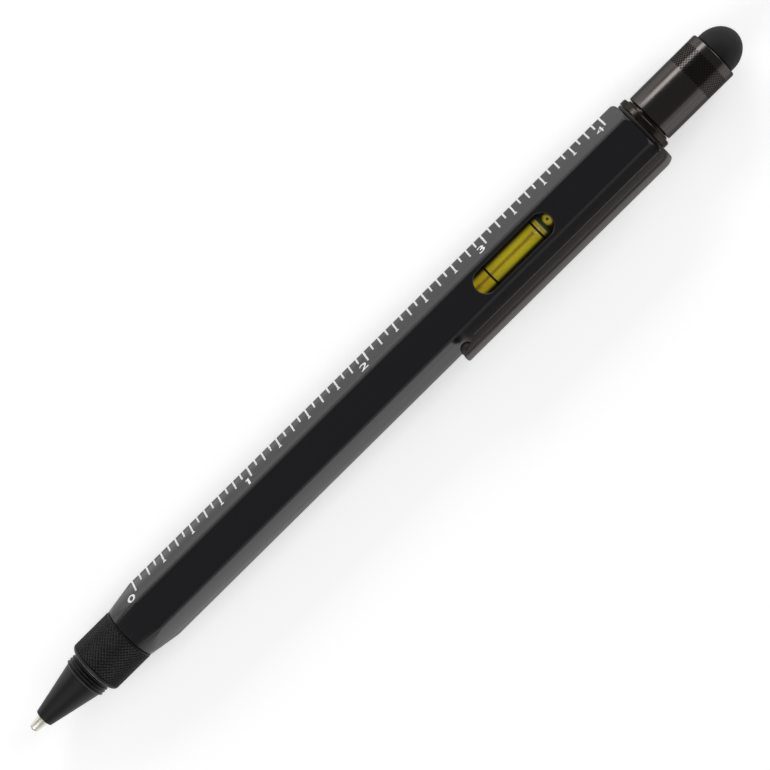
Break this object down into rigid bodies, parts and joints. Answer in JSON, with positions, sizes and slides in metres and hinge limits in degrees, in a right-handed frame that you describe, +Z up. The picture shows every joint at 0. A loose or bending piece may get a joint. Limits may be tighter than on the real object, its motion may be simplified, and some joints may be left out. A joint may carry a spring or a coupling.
{
  "type": "multi tool pen",
  "caption": "Hexagonal ballpoint pen with a knurled twist ring, printed inch scale, spirit level behind a window, pocket clip, and a stylus cap over a reversible driver bit.",
  "frame": {"origin": "on the barrel's resting flat, below the middle of the barrel's length", "axes": "+X along the pen towards the stylus, so the writing tip points to -X; +Z up through the flat that holds the spirit level; +Y to the side away from the clip"},
  "size_m": [0.1533, 0.0127, 0.0097],
  "materials": {
    "black_anodised": "satin black anodised",
    "gunmetal": "polished gunmetal",
    "clip_steel": "dark nickel plated",
    "steel": "turned steel",
    "bit_steel": "phosphated tool steel",
    "nickel": "bright nickel silver",
    "brass": "turned brass",
    "white_plastic": "moulded",
    "ink": "wet ink",
    "clear_acrylic": "clear acrylic",
    "yellow_fluid": "yellow level fluid",
    "air": "air bubble",
    "green_rubber": "green seal rubber",
    "black_rubber": "matt black rubber"
  },
  "bodies": {
    "barrel_body": {"barrel": "black_anodised", "front_bushing": "brass", "guide_tube": "brass", "vial_tube": "clear_acrylic", "vial_fluid": "yellow_fluid", "vial_ring_front": "black_rubber", "vial_ring_rear": "black_rubber", "vial_seal": "green_rubber", "vial_plug": "clear_acrylic", "top_collar": "gunmetal", "bit_socket": "steel", "bit_magnet": "steel", "clip_ring": "clip_steel"},
    "nose_section": {"twist_ring": "black_anodised", "nose_cone": "black_anodised", "cam_sleeve": "brass", "twist_o_ring": "black_rubber"},
    "refill": {"refill_carrier": "white_plastic", "follower_pin": "steel", "refill_tube": "nickel", "ink_column": "ink", "refill_tip": "nickel"},
    "ball": {"writing_ball": "steel"},
    "clip": {"clip_arm": "clip_steel"},
    "cap_core": {"dome_core": "steel", "stylus_dome": "black_rubber"},
    "cap_shell": {"stylus_cap": "gunmetal"},
    "driver": {"driver_bit": "bit_steel"},
    "bubble": {"vial_bubble": "air"}
  },
  "joints": [
    {"name": "twist_turn", "type": "hinge", "parent": "barrel_body", "child": "nose_section", "pos_m": [-0.0553, 0, 0.00485], "axis": [1, 0, 0], "range_deg": [0, 180]},
    {"name": "refill_slide", "type": "slide", "parent": "barrel_body", "child": "refill", "axis": [1, 0, 0], "range_m": [0, 0.004]},
    {"name": "ball_roll", "type": "hinge", "parent": "refill", "child": "ball", "pos_m": [-0.0768, 0, 0.00485], "axis": [0, 1, 0], "continuous": true},
    {"name": "clip_flex", "type": "hinge", "parent": "barrel_body", "child": "clip", "pos_m": [0.05563, -0.00437, 0.00737], "axis": [0, 0.5, 0.866], "range_deg": [0, 4], "stiffness_Nm_per_rad": 2.5},
    {"name": "cap_pull", "type": "slide", "parent": "barrel_body", "child": "cap_core", "axis": [1, 0, 0], "range_m": [0, 0.03]},
    {"name": "cap_turn", "type": "hinge", "parent": "cap_core", "child": "cap_shell", "pos_m": [0.0575, 0, 0.00485], "axis": [1, 0, 0], "continuous": true},
    {"name": "bit_pull", "type": "slide", "parent": "barrel_body", "child": "driver", "axis": [1, 0, 0], "range_m": [0, 0.0165]},
    {"name": "bubble_drift", "type": "slide", "parent": "barrel_body", "child": "bubble", "axis": [1, 0, 0], "range_m": [-0.011, 0]}
  ],
  "couplings": [
    {"joint": "twist_turn", "follows": "refill_slide", "rad_per_m": 785.39},
    {"joint": "bit_pull", "follows": "cap_pull", "ratio": 0.55}
  ]
}
